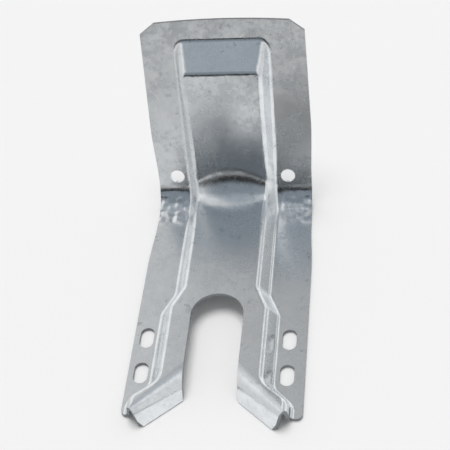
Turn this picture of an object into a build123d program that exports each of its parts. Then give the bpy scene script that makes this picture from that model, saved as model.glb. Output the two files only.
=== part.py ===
from build123d import *
from math import atan2, cos, degrees, radians, sin, sqrt, tan
import os

# Anti-tip bracket for a kitchen range: one pressing of galvanised sheet, in millimetres.
# X runs across the bracket, +Y points at the room's wall and +Z is up.
# It is drawn from the fold line, where the floor plate and the back plate would meet if sharp,
# with X = 0 midway between the sides of the leg slot, and is then set down on its own middle.

# The sheet and its fold, which is arched where the raised channel runs through it
sheet = 1.9
back_lean = 16.0
fold_radius = 15.0
arch_middle_radius = 19.0
arch_side_radius = 9.0

# The cut blank, measured from the middle of the leg slot and from the fold line
floor_left = 43.1
floor_right = 45.3
floor_length = 141.8
front_corner_radius = 3.0
nose_length = 5.2
nose_inset = 6.4
back_left = 42.5
back_right = 43.6
back_height = 107.4
back_crown = 1.4
shear_width = 7.7
shear_height = 5.9
neck_pull = 1.4
neck_reach = 48.0
left_swell_width = 0.5
right_swell_width = 1.3
swell_height = 47.0

# The raised channel of the floor plate
channel_height = 10.0
channel_half_width = 19.5
channel_side_run = 4.8
prong_half_width = 25.2
widening_start = 67.0
widening_length = 13.0
flare_start = 124.5
flare_length = 10.0
flare_foot = 39.6
flare_side_run = 1.5
step_back = 3.0

# The raised boss of the back plate, its depth square to the plate
boss_low = 12.0
boss_low_depth = 4.0
boss_high_depth = 13.0
boss_half_width = 21.6
boss_roof_run = 13.5
boss_top_margin = 9.9

# Rounding of the outer skin
edge_round = 3.2
foot_round = 2.5
corner_round = 5.0
plan_round = 8.0
plan_round_change = 2.0

# The leg slot and its turned-down mouth
leg_slot_width = 27.1
leg_slot_end = 74.2
mouth_start = 131.3
mouth_angle = 40.7
mouth_lean = 20.0
mouth_round_wide = 14.0
mouth_round_narrow = 2.4
mouth_before = 30.0
mouth_beyond = 40.0
lip_clearance = 0.4

# The screw holes
floor_hole_width = 7.2
floor_hole_length = 12.4
floor_hole_across = 36.55
floor_hole_rear = 95.5
floor_hole_pitch = 21.6
back_hole_diameter = 7.8
back_hole_across = 31.0
back_hole_height = 16.7

# Room that the forming block and the cutting tools have beyond the sheet,
# and the strip along the block's own border that stays sharp
spare = 25.0
border = 1.0

fold = Vector(0, 0, sheet)
up_plate = Vector(0, sin(radians(back_lean)), cos(radians(back_lean)))
out_of_plate = Vector(0, -cos(radians(back_lean)), sin(radians(back_lean)))
channel_foot = channel_half_width + channel_side_run
prong_foot = prong_half_width + channel_side_run
block_front = -floor_length - nose_length - spare
block_joint = -2 * fold_radius
side_slope = degrees(atan2(channel_height, channel_side_run))
boss_roof_foot = back_height - boss_top_margin
boss_high = boss_roof_foot - boss_roof_run
block_left = -max(floor_left, back_left) - spare
block_right = max(floor_right, back_right) + spare


def on_plate(height, depth):
    """A point at X = 0, up the back plate from the fold and out from its front face."""
    return fold + up_plate * height + out_of_plate * depth


def crossing(point, direction, other_point, other_direction):
    """Where two lines in the YZ plane cross."""
    gap = other_point - point
    turn = direction.Z * other_direction.Y - direction.Y * other_direction.Z
    along = (gap.Z * other_direction.Y - gap.Y * other_direction.Z) / turn
    return point + direction * along


def side_profile(x, spread, raised, depth, radius):
    """The forming block in side view, through the margins or through the raised middle.

    x is its place at the floor plate, and spread is how far it moves out for each millimetre up.
    depth is how far its face lies under the sheet's outer skin, and radius is the skin's at the fold.
    """
    level = sheet - depth + (channel_height if raised else 0)
    stretch = sqrt(1 + spread**2)
    low = on_plate(boss_low, boss_low_depth if raised else 0)
    high = on_plate(boss_high, boss_high_depth if raised else 0)
    rise = (high - low).normalized()
    low = low + Vector(0, rise.Z, -rise.Y) * depth
    top = back_height + back_crown + spare
    corner = crossing(Vector(0, block_joint, level), Vector(0, 1, 0), low, rise)
    summit = crossing(low, rise, Vector(0, 0, top), Vector(0, 1, 0))
    rear = top * tan(radians(back_lean)) + spare
    points = [
        (block_joint, -spare),
        (block_joint, level),
        (corner.Y, corner.Z),
        (summit.Y, top),
        (rear, top),
        (rear, -spare),
    ]
    face = make_face(Polyline(*[(y, (z - level) * stretch) for y, z in points], close=True))
    bend = face.vertices().sort_by_distance((corner.Y, 0, 0))[0]
    face = fillet(bend, radius + depth)
    return Plane(origin=(x, 0, level), x_dir=(0, 1, 0), z_dir=(1, 0, -spread)) * face


def channel_outline(half, prong, flare, back, level, convex, concave):
    """The channel in plan: narrow, widened beside the leg slot, flared at the tips."""
    right = [
        (half, block_joint),
        (half, -widening_start - back),
        (prong, -widening_start - widening_length - back),
        (prong, -flare_start - back),
        (flare, -flare_start - flare_length - back),
        (flare, block_front),
    ]
    left = [(-x, y) for x, y in reversed(right)]
    face = make_face(Polyline(*right, *left, close=True))
    for corners, radius in (((right[1], right[3]), concave), ((right[2], right[4]), convex)):
        points = face.vertices()
        rounded = [points.sort_by_distance((side * x, y, 0))[0] for x, y in corners for side in (-1, 1)]
        face = fillet(rounded, radius)
    return Pos(0, 0, level) * face


def roof_plane(depth):
    """The plane of the boss's upper end, which slopes from the panel back to the plate."""
    foot = on_plate(boss_roof_foot, 0)
    slope = (foot - on_plate(boss_high, boss_high_depth)).normalized()
    outward = Vector(0, -slope.Z, slope.Y)
    return Plane(origin=foot - outward * depth, x_dir=(1, 0, 0), z_dir=outward)


def loose_edges(faces):
    """The edges that only one of the faces has."""
    edges = [edge for face in faces for edge in face.edges()]
    return [edge for edge in edges if sum(edge.is_same(other) for other in edges) == 1]


def forming_block(depth):
    """The solid under the sheet's outer skin, or, sunk by the sheet, under its inner one."""
    inset = depth * tan(radians(side_slope / 2))
    level = sheet - depth
    across = block_right - block_left
    margins = side_profile(block_left, 0, False, depth, fold_radius)
    block = extrude(margins, across, dir=(1, 0, 0))
    bed_size = (across, block_joint - block_front, level + spare)
    bed_corner = Pos(block_left, block_front, -spare)
    block += bed_corner * Box(*bed_size, align=(Align.MIN, Align.MIN, Align.MIN))

    half = channel_half_width - inset
    foot = channel_foot - inset
    crest_height = on_plate(boss_high, boss_high_depth).Z - sheet - channel_height
    crest_spread = (boss_half_width - channel_half_width) / crest_height
    left, right = [
        side_profile(side * half, side * crest_spread, True, depth, arch_side_radius) for side in (-1, 1)
    ]
    middle = side_profile(0, 0, True, depth, arch_middle_radius)
    boss = loft([left.face(), middle.face(), right.face()])
    for side, ridge in ((-1, left), (1, right)):
        valley = side_profile(side * foot, 0, False, depth, fold_radius)
        boss += loft([ridge.face(), valley.face()], ruled=True)
    cap = 2 * (back_height + spare)
    boss -= roof_plane(depth) * Box(across, cap, cap, align=(Align.CENTER, Align.CENTER, Align.MIN))

    flare = flare_foot - inset
    convex = plan_round - depth
    concave = plan_round + depth
    base = channel_outline(foot, prong_foot - inset, flare, 0, level, convex, concave)
    crest = channel_outline(
        half, prong_half_width - inset, flare - flare_side_run, step_back, level + channel_height,
        convex - plan_round_change, concave + plan_round_change)
    block += boss + loft([base.face(), crest.face()], ruled=True)
    return soften(block, depth, level)


def soften(block, depth, level):
    """Round the boss's upper corners, then its crest all the way, then its foot all the way.

    Inside the hollow the crest is a flat bevel, which ends where the round would.
    """
    roof_middle = on_plate((boss_high + boss_roof_foot) / 2, boss_high_depth / 2)
    roof = block.faces().sort_by_distance(roof_middle)[0]
    roof_ends = roof.edges().sort_by(lambda edge: abs(edge.center().X))[-2:]
    block = fillet(roof_ends, corner_round - depth)

    panel_middle = on_plate((boss_low + boss_high) / 2, (boss_low_depth + boss_high_depth) / 2)
    plateau = block.faces().sort_by_distance((0, block_joint, level + channel_height))[0]
    panel = block.faces().sort_by_distance(panel_middle)[0]
    ridge = loose_edges([plateau, panel] + joining_faces(block, plateau, panel))
    crest = [edge for edge in ridge if edge.center().Y > block_front + border]
    bevel = (edge_round - depth) * tan(radians(side_slope / 2))
    block = chamfer(crest, bevel) if depth else fillet(crest, edge_round)

    margin = (channel_foot + min(floor_left, floor_right)) / 2
    floor = [block.faces().sort_by_distance((side * margin, block_joint, level))[0] for side in (-1, 1)]
    plate = block.faces().sort_by_distance(on_plate((boss_roof_foot + back_height) / 2, 0))[0]
    outer_bends = [bend for side in floor for bend in joining_faces(block, side, plate)]
    top = back_height + back_crown
    inside = [
        edge for edge in loose_edges(floor + [plate] + outer_bends)
        if block_left + border < edge.center().X < block_right - border
        and edge.center().Y > block_front + border and edge.center().Z < top
    ]
    return fillet(inside, foot_round + depth)


def joining_faces(block, first, second):
    """The faces that share an edge with both, as the bend between two plates does."""

    def meets(face, other):
        return any(edge.is_same(match) for edge in face.edges() for match in other.edges())

    return list(block.faces().filter_by(lambda face: meets(face, first) and meets(face, second)))


def mouth_tool(depth):
    """What lies in front of the right prong's turned-down lip, rounded wide at the slot.

    Its section is square to the lip: down the rounded bend from the prong's top, then down the lip.
    """
    along = Vector(cos(radians(mouth_angle)), -sin(radians(mouth_angle)), 0)
    inward = Vector(-sin(radians(mouth_angle)), -cos(radians(mouth_angle)), 0)
    start = Vector(leg_slot_width / 2, -mouth_start, 0)
    level = sheet + channel_height - depth
    turn = radians(90 - mouth_lean)
    sections = []
    lip_top = -tan(radians(mouth_lean)) * (level - sheet) - depth / cos(radians(mouth_lean))
    lip_foot = lip_top + tan(radians(mouth_lean)) * (level + spare)
    down_lip = Vector(sin(radians(mouth_lean)), -cos(radians(mouth_lean)))
    far = floor_length
    for distance, radius in ((-mouth_before, mouth_round_wide), (mouth_beyond, mouth_round_narrow)):
        tangent = (radius - depth) * tan(turn / 2)
        bend_start = lip_top - tangent
        bend_end = Vector(lip_top, level) + down_lip * tangent
        edges = Curve() + [
            TangentArc((bend_start, level), (bend_end.X, bend_end.Y), tangent=(1, 0)),
            Polyline(
                (bend_end.X, bend_end.Y),
                (lip_foot, -spare),
                (far, -spare),
                (far, level + spare),
                (bend_start, level + spare),
                (bend_start, level),
            ),
        ]
        plane = Plane(origin=start + along * distance, x_dir=inward, z_dir=along * -1)
        sections.append(plane * make_face(edges))
    tool = loft([section.face() for section in sections], ruled=True)
    half_size = (2 * floor_length, 4 * floor_length, 4 * spare)
    return tool & Box(*half_size, align=(Align.MIN, Align.CENTER, Align.CENTER))


def cut_mouth(block, depth):
    """Take both halves of the mouth out of a forming block."""
    tool = mouth_tool(depth)
    return block - tool - mirror(tool, Plane.YZ)


def drawn_edge(start, end):
    """An edge of the blank that the pressing drew in: a smooth step from start to end."""
    return Spline(start, end, tangents=((0, 1), (0, 1)))


def floor_blank():
    """The cut outline of the floor plate, with a nose on each prong."""
    nose = floor_length + nose_length
    left_neck = -floor_left + neck_pull
    right_neck = floor_right - neck_pull
    edges = Curve() + [
        drawn_edge((-floor_left, -neck_reach), (left_neck, -fold_radius)),
        drawn_edge((floor_right, -neck_reach), (right_neck, -fold_radius)),
        Polyline(
            (-floor_left, -neck_reach),
            (-floor_left, -floor_length),
            (-flare_foot, -floor_length),
            (-flare_foot + nose_inset, -nose),
            (flare_foot - nose_inset, -nose),
            (flare_foot, -floor_length),
            (floor_right, -floor_length),
            (floor_right, -neck_reach),
        ),
        Polyline(
            (left_neck, -fold_radius),
            (left_neck, fold_radius),
            (right_neck, fold_radius),
            (right_neck, -fold_radius),
        ),
    ]
    outline = make_face(edges)
    points = outline.vertices()
    corners = [points.sort_by_distance((x, -floor_length, 0))[0] for x in (-floor_left, floor_right)]
    return extrude(fillet(corners, front_corner_radius), 2 * spare, both=True)


def back_blank():
    """The cut outline of the back plate, with sheared upper corners and a crowned top."""
    left_neck = -floor_left + neck_pull
    right_neck = floor_right - neck_pull
    left_swell = -back_left - left_swell_width
    right_swell = back_right + right_swell_width
    shoulder = back_height - shear_height
    top_left = -back_left + shear_width
    top_right = back_right - shear_width
    edges = Curve() + [
        drawn_edge((left_neck, fold_radius), (left_swell, swell_height)),
        drawn_edge((right_neck, fold_radius), (right_swell, swell_height)),
        Polyline((left_swell, swell_height), (-back_left, shoulder), (top_left, back_height)),
        Polyline((right_swell, swell_height), (back_right, shoulder), (top_right, back_height)),
        ThreePointArc(
            (top_left, back_height),
            ((top_left + top_right) / 2, back_height + back_crown),
            (top_right, back_height),
        ),
        Polyline(
            (left_neck, fold_radius),
            (left_neck, -fold_radius),
            (right_neck, -fold_radius),
            (right_neck, fold_radius),
        ),
    ]
    plate = Plane(origin=fold, x_dir=(1, 0, 0), z_dir=out_of_plate)
    return plate * extrude(make_face(edges), 2 * spare, both=True)


def lip_trim():
    """Everything under the lips, which stop just clear of the floor."""
    inset = sheet * tan(radians(side_slope / 2))
    foot = channel_foot - inset
    prong = prong_foot - inset
    flare = flare_foot - inset
    under = channel_outline(
        foot, prong, flare, 0, lip_clearance, plan_round - sheet, plan_round + sheet)
    return extrude(under, -2 * spare)


def leg_slot():
    """The slot that the range's levelling leg slides into, open at the front."""
    radius = leg_slot_width / 2
    middle = -leg_slot_end - radius
    straight = Pos(0, (middle + block_front) / 2) * Rectangle(leg_slot_width, middle - block_front)
    return extrude(Pos(0, middle) * Circle(radius) + straight, 2 * spare, both=True)


def screw_holes():
    """Four slots through the floor margins and two round holes through the back plate."""
    slot = SlotOverall(floor_hole_length, floor_hole_width, rotation=90)
    rows = (floor_hole_rear, floor_hole_rear + floor_hole_pitch)
    places = [Pos(side * floor_hole_across, -row) for side in (-1, 1) for row in rows]
    floor = [extrude(place * slot, spare, both=True) for place in places]
    plate = Plane(origin=fold, x_dir=(1, 0, 0), z_dir=out_of_plate)
    hole = Circle(back_hole_diameter / 2)
    back = [
        plate * extrude(Pos(side * back_hole_across, back_hole_height) * hole, spare, both=True)
        for side in (-1, 1)
    ]
    return floor + back


def bracket():
    """The pressing: the skin between two forming blocks, cut to the blank and pierced."""
    outer = cut_mouth(forming_block(0), 0)
    inner = cut_mouth(forming_block(sheet), sheet)
    skin = outer - inner
    halfway = Plane(origin=fold, x_dir=(1, 0, 0), z_dir=up_plate + Vector(0, 1, 0))
    floor = split(skin, halfway, keep=Keep.BOTTOM) & floor_blank()
    back = split(skin, halfway, keep=Keep.TOP) & back_blank()
    pressing = floor + back - lip_trim() - leg_slot() - screw_holes()
    box = pressing.bounding_box()
    return Pos(-box.center().X, -box.center().Y, -box.min.Z) * pressing


os.makedirs("parts", exist_ok=True)
export_step(bracket(), "parts/bracket.step")
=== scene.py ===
import math
from functools import partial

import bpy
from bpy.props import FloatProperty, FloatVectorProperty, PointerProperty
from mathutils import Matrix, Vector

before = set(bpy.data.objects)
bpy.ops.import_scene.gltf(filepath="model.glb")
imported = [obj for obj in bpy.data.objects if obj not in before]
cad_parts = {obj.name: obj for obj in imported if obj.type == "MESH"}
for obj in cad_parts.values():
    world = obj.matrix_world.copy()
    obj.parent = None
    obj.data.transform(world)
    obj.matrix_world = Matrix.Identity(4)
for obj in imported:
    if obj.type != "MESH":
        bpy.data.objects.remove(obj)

bl_info = {
    "name": "Anti-tip Bracket",
    "version": (1, 0, 0),
    "blender": (4, 5, 0),
    "location": "3D View > Sidebar > Bracket",
    "description": "Finish and studio for a pressed range bracket",
    "category": "Object",
}

MM = 0.001
FACTOR, VALUE_A, VALUE_B, COLOUR_A, COLOUR_B = 0, 2, 3, 6, 7  # the Mix node's inputs

# Sheared edges: how far a face is turned there, and the place past which it is an edge.
UPRIGHT_TILT = 0.12
SIDEWAYS_TURN = 0.9
UPWARD_TILT = 0.5
FLOOR_PLATE_TOP = 13.0 * MM
MARGIN_REACH = 38.0 * MM
TOP_EDGE_HEIGHT = 97.5 * MM

# The margins' bends: the marks grow from none at the first place to full at the second.
BEND_ALONG = (38.0 * MM, 47.0 * MM)
BEND_HEIGHT = (10.0 * MM, 5.5 * MM)
BEND_OUTWARD = (25.0 * MM, 29.0 * MM)

# The zinc: the noise values over which one finish turns into the next.
DULL_TO_BRIGHT = (0.36, 0.62)
STAINED = (0.62, 0.72)
SPANGLE_SHARE = 0.4
NOISE_ROUGHNESS = 0.55
ROLL_STRETCH = (1.0, 0.04, 0.04)
SHEARED_ROUGHNESS = 0.5

# The table in metres, and the places on it over which its painted shade, seen only in
# reflections, changes.
TABLE_HALF = 1500.0 * MM
TABLE_GAP = 0.2 * MM
TABLE_NEAR = (-0.50, -0.10)
TABLE_FAR = (-0.45, -0.90)
TABLE_LEFT = (-0.02, -0.07)
# A painted shadow: a dark patch in the table's colour that only reflections see.
SHADOW_CENTRE = (0.038, -0.240, 0.0)
SHADOW_HALF = (0.088, 0.130, 1.0)
SHADOW_RIM = (1.10, 0.80)

# The room: the parts of a direction over which its reflected shade changes.
HORIZON = (-0.04, 0.03)
HAZE = (0.34, 0.54)
FRONT_TOP = (0.86, 0.99)
CEILING_EDGE = (0.88, 0.98)
CEILING_TO_WALL = (0.0, 0.30)
BACKDROP_LEFT = (-0.06, -0.24)
BACKDROP_RISE = (0.10, 0.45)
FRONT_TO_BACK = (-0.35, 0.30)
SCREEN_FADE = (0.90, 0.47)
LEFT_SCREEN = (-0.22, -0.46)
RIGHT_SCREEN = (0.20, 0.40)
OPENING_TO_FRONT = (0.0, -0.4)
OPENING_WIDTH = (0.0, 0.30)
DOORWAY = (0.69, 0.60, 0.40)
SKYLIGHT = (-0.36, 0.22, 0.91)
PATCH_RIM = (0.30, 0.12)

SENSOR_WIDTH = 36.0  # in mm, as Blender has it
CLIP_START = 10.0 * MM


def linear(code):
    """An sRGB hex colour as linear red, green, blue and alpha."""
    values = [int(code[i:i + 2], 16) / 255 for i in (0, 2, 4)]
    return [v / 12.92 if v <= 0.04045 else ((v + 0.055) / 1.055) ** 2.4 for v in values] + [1.0]


def grey(value):
    """A linear grey."""
    return [value, value, value, 1.0]


def add_node(tree, kind, inputs=(), **settings):
    """Add a node with its settings. An input is a value, or a node or socket to link from."""
    made = tree.nodes.new(kind)
    for name, value in settings.items():
        setattr(made, name, value)
    for key, value in inputs.items() if isinstance(inputs, dict) else enumerate(inputs):
        if isinstance(value, bpy.types.Node):
            value = next(socket for socket in value.outputs if socket.enabled)
        if isinstance(value, bpy.types.NodeSocket):
            tree.links.new(value, made.inputs[key])
        else:
            made.inputs[key].default_value = value
    return made


def layered(node, colour, layers):
    """A colour with others laid over it, each coming in smoothly over its part of a value."""
    for value, limits, over in layers:
        part = node("ShaderNodeMapRange", [value, *limits], interpolation_type="SMOOTHSTEP")
        colour = node("ShaderNodeMix", {FACTOR: part, COLOUR_A: colour, COLOUR_B: over},
                      data_type="RGBA")
    return colour


class BracketFinish(bpy.types.PropertyGroup):
    """Colours and sizes of the galvanised finish"""

    zinc: FloatVectorProperty(
        name="Zinc", description="Bright zinc",
        size=4, subtype="COLOR", default=linear("E6E9EB"))
    dull_zinc: FloatVectorProperty(
        name="Dull zinc", description="Zinc dulled by handling",
        size=4, subtype="COLOR", default=linear("DADEE1"))
    stain: FloatVectorProperty(
        name="Stain", description="Small stained spots",
        size=4, subtype="COLOR", default=linear("CBCFD2"))
    cut_steel: FloatVectorProperty(
        name="Cut edge", description="Bare steel on sheared edges",
        size=4, subtype="COLOR", default=linear("8A8D91"))
    smudge_size: FloatProperty(
        name="Smudge size", description="Width of the dull patches",
        unit="LENGTH", default=13.0 * MM)
    spangle_size: FloatProperty(
        name="Spangle size", description="Width of the zinc's crystals",
        unit="LENGTH", default=2.6 * MM)
    stain_size: FloatProperty(
        name="Stain size", description="Distance between stained spots",
        unit="LENGTH", default=5.0 * MM)
    roll_line_size: FloatProperty(
        name="Roll line spacing", description="Distance between rolling lines",
        unit="LENGTH", default=0.8 * MM)
    roll_line_depth: FloatProperty(
        name="Roll line depth", description="Depth of the rolling lines",
        unit="LENGTH", default=0.0075 * MM)
    dent_size: FloatProperty(
        name="Dent size", description="Width of the press's shallow dents",
        unit="LENGTH", default=14.0 * MM)
    dent_depth: FloatProperty(
        name="Dent depth", description="Depth of the press's shallow dents",
        unit="LENGTH", default=0.12 * MM)
    fold_mark_size: FloatProperty(
        name="Fold mark size", description="Width of the marks in the margins' bends",
        unit="LENGTH", default=4.0 * MM)
    fold_mark_depth: FloatProperty(
        name="Fold mark depth", description="Depth of the marks in the margins' bends",
        unit="LENGTH", default=1.2 * MM)
    polished: FloatProperty(
        name="Bright roughness", description="Roughness of bright zinc",
        subtype="FACTOR", min=0.0, max=1.0, default=0.22)
    dulled: FloatProperty(
        name="Dull roughness", description="Roughness of dull zinc",
        subtype="FACTOR", min=0.0, max=1.0, default=0.30)


class BracketStudio(bpy.types.PropertyGroup):
    """The camera and the lamp"""

    lens: FloatProperty(
        name="Lens", description="Focal length on a 36 mm sensor",
        unit="CAMERA", default=88.4)
    place: FloatVectorProperty(
        name="Camera", description="The camera's place",
        size=3, subtype="TRANSLATION", default=(84.6 * MM, -367.7 * MM, 450.5 * MM))
    aim: FloatVectorProperty(
        name="Camera aim", description="The point in the middle of the picture",
        size=3, subtype="TRANSLATION", default=(-4.9 * MM, 40.0 * MM, 1.9 * MM))
    roll: FloatProperty(
        name="Camera roll", description="Turn of the camera about its view",
        subtype="ANGLE", default=math.radians(-9.27))
    lamp_from: FloatVectorProperty(
        name="Lamp side", description="Direction from the bracket to the lamp",
        size=3, subtype="DIRECTION", default=(-0.06, 0.20, 1.0))
    lamp_spread: FloatProperty(
        name="Lamp spread", description="Angle that the lamp fills, which softens its shadow",
        subtype="ANGLE", default=math.radians(32.0))
    lamp_strength: FloatProperty(
        name="Lamp strength", description="Light from the lamp on the table", default=1.80)
    fill: FloatProperty(
        name="Fill light", description="Light from the whole room on the table", default=0.445)


def cut_edges(node, place, normal):
    """One on the sheared edges of the sheet, and zero on its two faces.

    The edges stand upright low on the floor plate, face sideways at the outer margins, or face up
    at the top of the back plate.
    """
    across, _, height = node("ShaderNodeSeparateXYZ", [place]).outputs
    sideways, _, upward = node("ShaderNodeSeparateXYZ", [normal]).outputs
    outward, tilt, turn = [
        node("ShaderNodeMath", [value], operation="ABSOLUTE")
        for value in (across, upward, sideways)]
    edges = 0.0
    for facing, angle, where, reach, compare in (
            (tilt, UPRIGHT_TILT, height, FLOOR_PLATE_TOP, "LESS_THAN"),
            (turn, SIDEWAYS_TURN, outward, MARGIN_REACH, "GREATER_THAN"),
            (upward, UPWARD_TILT, height, TOP_EDGE_HEIGHT, "GREATER_THAN")):
        faces = node("ShaderNodeMath", [facing, angle], operation=compare)
        lies = node("ShaderNodeMath", [where, reach], operation=compare)
        edge = node("ShaderNodeMath", [faces, lies], operation="MULTIPLY")
        edges = node("ShaderNodeMath", [edges, edge], operation="MAXIMUM")
    return edges


def on_folded_margins(node, place):
    """One where the two margins bend up from the floor, fading to zero around them."""
    across, along, height = node("ShaderNodeSeparateXYZ", [place]).outputs
    outward = node("ShaderNodeMath", [across], operation="ABSOLUTE")
    mask = 1.0
    for value, limits in ((along, BEND_ALONG), (height, BEND_HEIGHT), (outward, BEND_OUTWARD)):
        part = node("ShaderNodeMapRange", [value, *limits], interpolation_type="SMOOTHSTEP")
        mask = node("ShaderNodeMath", [mask, part], operation="MULTIPLY")
    return mask


def galvanised_steel_pressed(finish):
    """Hot-dip galvanised steel sheet, stamped and folded.

    The eye sees bright zinc dulled in patches by handling, fine lines from the rolling mill along
    the sheet, shallow dents from the press, crumpled marks in the margins' bends and darker steel
    on the sheared edges. The rolling lines are drawn coarser than real ones, so that they show.
    """
    material = bpy.data.materials.new("galvanised_steel_pressed")
    material.use_nodes = True
    tree = material.node_tree
    tree.nodes.clear()
    node = partial(add_node, tree)
    place = node("ShaderNodeTexCoord").outputs["Object"]
    normal = node("ShaderNodeNewGeometry").outputs["True Normal"]
    lengthwise = node("ShaderNodeMapping", {"Vector": place, "Scale": ROLL_STRETCH})
    smudges, spangles, stains, roll_lines, dents, fold_marks = [
        node("ShaderNodeTexNoise", {
            "Vector": vector, "Scale": 1.0 / size, "Detail": detail,
            "Roughness": NOISE_ROUGHNESS, "Distortion": swirl})
        for vector, size, detail, swirl in (
            (place, finish.smudge_size, 5.0, 0.6),
            (place, finish.spangle_size, 3.0, 0.0),
            (place, finish.stain_size, 3.0, 0.0),
            (lengthwise, finish.roll_line_size, 2.0, 0.0),
            (place, finish.dent_size, 2.0, 0.0),
            (place, finish.fold_mark_size, 0.0, 0.0))]

    mottle = node("ShaderNodeMix", {FACTOR: SPANGLE_SHARE, VALUE_A: smudges, VALUE_B: spangles})
    edges = cut_edges(node, place, normal)
    colour = layered(node, list(finish.dull_zinc), [
        (mottle, DULL_TO_BRIGHT, list(finish.zinc)),
        (stains, STAINED, list(finish.stain)),
        (edges, (0.0, 1.0), list(finish.cut_steel))])
    worn = node("ShaderNodeMapRange", [mottle, *DULL_TO_BRIGHT, finish.dulled, finish.polished],
                interpolation_type="SMOOTHSTEP")
    sheared = node("ShaderNodeMath", [edges, SHEARED_ROUGHNESS], operation="MULTIPLY")
    rough = node("ShaderNodeMath", [worn, sheared], operation="MAXIMUM")

    crumples = node("ShaderNodeMath", [fold_marks, on_folded_margins(node, place)],
                    operation="MULTIPLY")
    bump = node("ShaderNodeBump", {"Height": roll_lines, "Distance": finish.roll_line_depth})
    bump = node("ShaderNodeBump", {
        "Height": dents, "Distance": finish.dent_depth, "Normal": bump})
    bump = node("ShaderNodeBump", {
        "Height": crumples, "Distance": finish.fold_mark_depth, "Normal": bump})
    shader = node("ShaderNodeBsdfPrincipled", {
        "Base Color": colour, "Metallic": 1.0, "Roughness": rough, "Normal": bump})
    node("ShaderNodeOutputMaterial", {"Surface": shader})
    return material


class OBJECT_OT_bracket_finish(bpy.types.Operator):
    """Give the pressed bracket its galvanised finish"""

    bl_idname = "object.bracket_finish"
    bl_label = "Bracket Finish"

    def execute(self, context):
        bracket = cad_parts["bracket"]
        bracket.data.materials.clear()
        bracket.data.materials.append(galvanised_steel_pressed(context.scene.bracket_finish))
        return {"FINISHED"}


def white_table_with_painted_shade():
    """Matt white paint, evenly white to the camera.

    In the metal's reflections its colour carries painted shade: dimmer some way in front of the
    bracket, more so on the left, with a painted shadow as a dark patch in front on the right.
    Places are in metres: x to the right, y to the wall.
    """
    material = bpy.data.materials.new("white_table_with_painted_shade")
    material.use_nodes = True
    tree = material.node_tree
    tree.nodes.clear()
    node = partial(add_node, tree)
    place = node("ShaderNodeTexCoord").outputs["Object"]
    across, along, _ = node("ShaderNodeSeparateXYZ", [place]).outputs
    offset = node("ShaderNodeVectorMath", [place, SHADOW_CENTRE], operation="SUBTRACT")
    offset = node("ShaderNodeVectorMath", [offset, SHADOW_HALF], operation="DIVIDE")
    from_shadow = node("ShaderNodeVectorMath", [offset], operation="LENGTH")
    # Painted shade in the table's colour, seen only in reflections: dimmer some way in front,
    # darker still on the left, and a painted shadow as a dark patch in front on the right.
    left = layered(node, grey(0.50), [
        (along, TABLE_NEAR, grey(0.71)), (along, TABLE_FAR, grey(1.00))])
    shade = layered(node, grey(0.66), [
        (along, TABLE_NEAR, grey(0.98)), (along, TABLE_FAR, grey(1.00)),
        (across, TABLE_LEFT, left), (from_shadow, SHADOW_RIM, grey(0.02))])
    white = node("ShaderNodeBsdfDiffuse", {"Color": grey(0.90)})
    shaded = node("ShaderNodeBsdfDiffuse", {"Color": shade})
    mirrored = node("ShaderNodeLightPath").outputs["Is Glossy Ray"]
    mixed = node("ShaderNodeMixShader", [mirrored, white, shaded])
    node("ShaderNodeOutputMaterial", {"Surface": mixed})
    return material


def build_table(context):
    """A white table, a flat square just under the bracket, with painted shade that only
    reflections see.
    """
    mesh = bpy.data.meshes.new("table")
    corners = [(-1, -1), (1, -1), (1, 1), (-1, 1)]
    mesh.from_pydata(
        [(x * TABLE_HALF, y * TABLE_HALF, -TABLE_GAP) for x, y in corners], [], [(0, 1, 2, 3)])
    mesh.materials.append(white_table_with_painted_shade())
    table = bpy.data.objects.new("table", mesh)
    context.scene.collection.objects.link(table)


def build_room(context, studio):
    """What the metal reflects: a dark front, a grey ceiling with a skylight, and bright screens.

    Directions go from -1 to 1: x to the right, y towards the wall, z up. The camera sees plain
    white, and the table gets plain white fill light.
    """
    world = bpy.data.worlds.new("studio_room")
    context.scene.world = world
    world.use_nodes = True
    tree = world.node_tree
    tree.nodes.clear()
    node = partial(add_node, tree)
    direction = node("ShaderNodeTexCoord").outputs["Generated"]
    x, y, z = node("ShaderNodeSeparateXYZ", [direction]).outputs
    dim_ceiling = linear("A4ACB4")
    ceiling = layered(node, dim_ceiling, [(y, CEILING_TO_WALL, linear("C4CACF"))])
    front = layered(node, grey(0.30), [
        (z, HORIZON, grey(0.005)), (z, HAZE, linear("858E96")), (z, FRONT_TOP, dim_ceiling)])
    backdrop = layered(node, grey(0.43), [(x, BACKDROP_LEFT, grey(0.61))])
    behind = layered(node, grey(0.90), [(z, BACKDROP_RISE, backdrop)])
    middle = layered(node, front, [(y, FRONT_TO_BACK, behind), (z, CEILING_EDGE, ceiling)])

    sideways = node("ShaderNodeMath", [x], operation="ABSOLUTE")
    from_doorway = node("ShaderNodeVectorMath", [direction, DOORWAY], operation="DISTANCE")
    screens = layered(node, grey(0.75), [
        (sideways, SCREEN_FADE, grey(1.08)), (from_doorway, PATCH_RIM, grey(0.45))])
    opening = node("ShaderNodeMapRange", [y, *OPENING_TO_FRONT, *OPENING_WIDTH],
                   interpolation_type="SMOOTHSTEP")
    to_left = node("ShaderNodeMath", [x, opening], operation="ADD")
    to_right = node("ShaderNodeMath", [x, opening], operation="SUBTRACT")
    from_skylight = node("ShaderNodeVectorMath", [direction, SKYLIGHT], operation="DISTANCE")
    room = layered(node, middle, [
        (to_left, LEFT_SCREEN, screens), (to_right, RIGHT_SCREEN, screens),
        (from_skylight, PATCH_RIM, grey(0.75))])

    seen = node("ShaderNodeLightPath").outputs
    fill = node("ShaderNodeBackground", {"Color": grey(1.0), "Strength": studio.fill})
    white = node("ShaderNodeBackground", {"Color": grey(0.9)})
    reflected = node("ShaderNodeBackground", {"Color": room})
    plain = node("ShaderNodeMixShader", [seen["Is Camera Ray"], fill, white])
    chosen = node("ShaderNodeMixShader", [seen["Is Glossy Ray"], plain, reflected])
    node("ShaderNodeOutputWorld", {"Surface": chosen})


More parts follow.
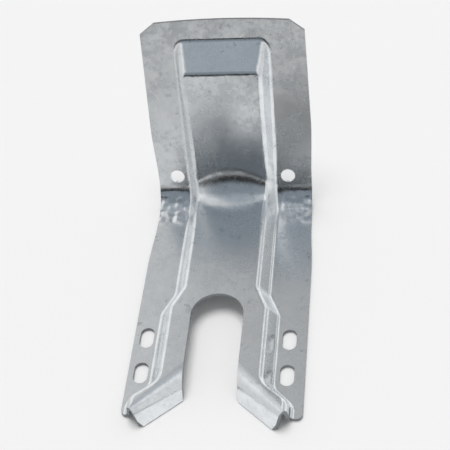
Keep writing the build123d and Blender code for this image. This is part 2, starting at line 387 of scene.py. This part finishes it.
def build_lamp(context, studio):
    """A wide soft lamp overhead, which lights the table. The metal reflects the room instead."""
    light = bpy.data.lights.new("lamp", "SUN")
    light.energy = studio.lamp_strength
    light.angle = studio.lamp_spread
    lamp = bpy.data.objects.new("lamp", light)
    lamp.rotation_euler = (-Vector(studio.lamp_from)).to_track_quat("-Z", "Y").to_euler()
    lamp.visible_glossy = False
    context.scene.collection.objects.link(lamp)


def build_camera(context, studio):
    """The camera at the photograph's angle."""
    data = bpy.data.cameras.new("camera")
    data.sensor_width = SENSOR_WIDTH
    data.lens = studio.lens
    data.clip_start = CLIP_START
    camera = bpy.data.objects.new("camera", data)
    place = Vector(studio.place)
    forward = (Vector(studio.aim) - place).normalized()
    right = forward.cross(Vector((0, 0, 1))).normalized()
    up = right.cross(forward)
    across = right * math.cos(studio.roll) + up * math.sin(studio.roll)
    rise = up * math.cos(studio.roll) - right * math.sin(studio.roll)
    axes = Matrix((across, rise, -forward)).transposed()
    camera.matrix_world = Matrix.Translation(place) @ axes.to_4x4()
    context.scene.collection.objects.link(camera)
    context.scene.camera = camera


class SCENE_OT_bracket_stage(bpy.types.Operator):
    """Build the table, the room, the lamp and the camera"""

    bl_idname = "scene.bracket_stage"
    bl_label = "Bracket Stage"

    def execute(self, context):
        studio = context.scene.bracket_studio
        build_table(context)
        build_room(context, studio)
        build_lamp(context, studio)
        build_camera(context, studio)
        context.scene.view_settings.view_transform = "Standard"
        return {"FINISHED"}


class VIEW3D_PT_bracket(bpy.types.Panel):
    """Finish and studio settings"""

    bl_label = "Bracket"
    bl_idname = "VIEW3D_PT_bracket"
    bl_space_type = "VIEW_3D"
    bl_region_type = "UI"
    bl_category = "Bracket"

    def draw(self, context):
        for group in (context.scene.bracket_finish, context.scene.bracket_studio):
            for name in group.__annotations__:
                self.layout.prop(group, name)
        self.layout.operator(OBJECT_OT_bracket_finish.bl_idname)
        self.layout.operator(SCENE_OT_bracket_stage.bl_idname)


CLASSES = (
    BracketFinish, BracketStudio, OBJECT_OT_bracket_finish, SCENE_OT_bracket_stage,
    VIEW3D_PT_bracket)


def register():
    for item in CLASSES:
        bpy.utils.register_class(item)
    bpy.types.Scene.bracket_finish = PointerProperty(type=BracketFinish)
    bpy.types.Scene.bracket_studio = PointerProperty(type=BracketStudio)


def unregister():
    del bpy.types.Scene.bracket_studio
    del bpy.types.Scene.bracket_finish
    for item in reversed(CLASSES):
        bpy.utils.unregister_class(item)


def main():
    """Build everything."""
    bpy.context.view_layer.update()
    register()
    bpy.ops.object.bracket_finish()
    bpy.ops.scene.bracket_stage()


if __name__ == "__main__":
    main()
